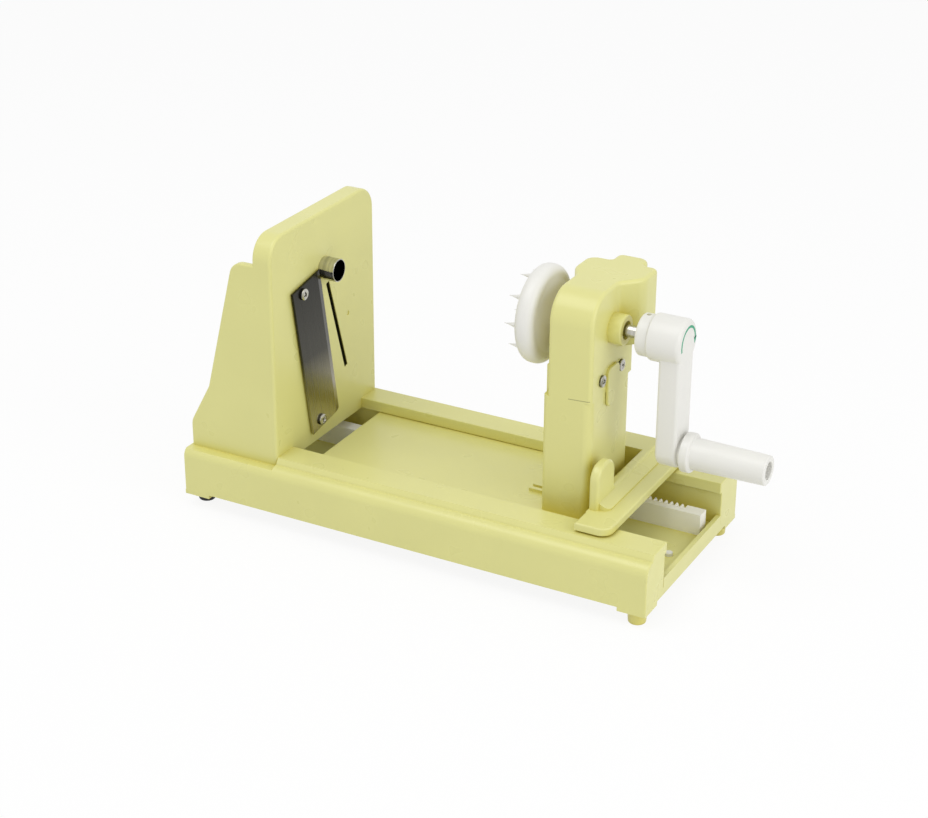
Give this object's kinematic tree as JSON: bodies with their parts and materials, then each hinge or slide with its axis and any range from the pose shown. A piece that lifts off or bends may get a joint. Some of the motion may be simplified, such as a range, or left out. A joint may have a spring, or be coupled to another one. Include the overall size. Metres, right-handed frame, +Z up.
{
  "type": "spiralizer with crank",
  "caption": "Hand-cranked vegetable turning slicer: a blade wall on a railed tray and a sliding headstock whose crank turns a spiked wheel.",
  "frame": {"origin": "middle of the whole length and width, on the plane that the feet stand on", "axes": "+X along the rails from the blade wall towards the crank, +Y to the back, +Z up"},
  "size_m": [0.3862, 0.147, 0.2008],
  "materials": {
    "body_plastic": "satin pale yellow-green moulding",
    "white_plastic": "semi-matt white moulding",
    "black_rubber": "matt",
    "blade_steel": "finely brushed",
    "bright_steel": "bright turned steel"
  },
  "bodies": {
    "base": {"base_tray": "body_plastic", "blade_wall": "body_plastic", "blade_plate": "blade_steel", "blade_screws": "bright_steel", "coring_tube": "blade_steel", "coring_tube_nut": "white_plastic", "feed_rack": "white_plastic", "rack_screws": "bright_steel", "left_feet": "black_rubber", "right_feet": "body_plastic", "wall_screws": "bright_steel", "floor_plug": "white_plastic"},
    "carriage": {"platform": "body_plastic", "column": "body_plastic", "head": "body_plastic", "crossmember": "body_plastic", "head_screws": "bright_steel", "column_screws": "bright_steel", "crossmember_screws": "bright_steel", "wheel_side_bush": "white_plastic", "crank_side_bush": "white_plastic", "pinion_axle": "bright_steel"},
    "pinion": {"feed_pinion": "white_plastic"},
    "crank": {"drive_shaft": "bright_steel", "spiked_wheel": "white_plastic", "wheel_pin": "bright_steel", "wheel_washer": "bright_steel", "crank_arm": "white_plastic", "crank_pin": "bright_steel", "handle_pin": "bright_steel", "handle_spacer": "white_plastic", "handle_washer": "bright_steel", "handle_screw": "bright_steel"},
    "grip": {"handle_grip": "white_plastic"}
  },
  "joints": [
    {"name": "carriage_slide", "type": "slide", "parent": "base", "child": "carriage", "axis": [1, 0, 0], "range_m": [-0.138, 0.045]},
    {"name": "pinion_roll", "type": "hinge", "parent": "carriage", "child": "pinion", "pos_m": [0.0699, 0.0325, 0.03776], "axis": [0, 1, 0], "continuous": true},
    {"name": "crank_turn", "type": "hinge", "parent": "carriage", "child": "crank", "pos_m": [0.09985, 0, 0.1614], "axis": [1, 0, 0], "continuous": true},
    {"name": "grip_spin", "type": "hinge", "parent": "crank", "child": "grip", "pos_m": [0.16685, 0, 0.0884], "axis": [1, 0, 0], "continuous": true}
  ],
  "couplings": [
    {"joint": "pinion_roll", "follows": "carriage_slide", "rad_per_m": 138.89}
  ]
}
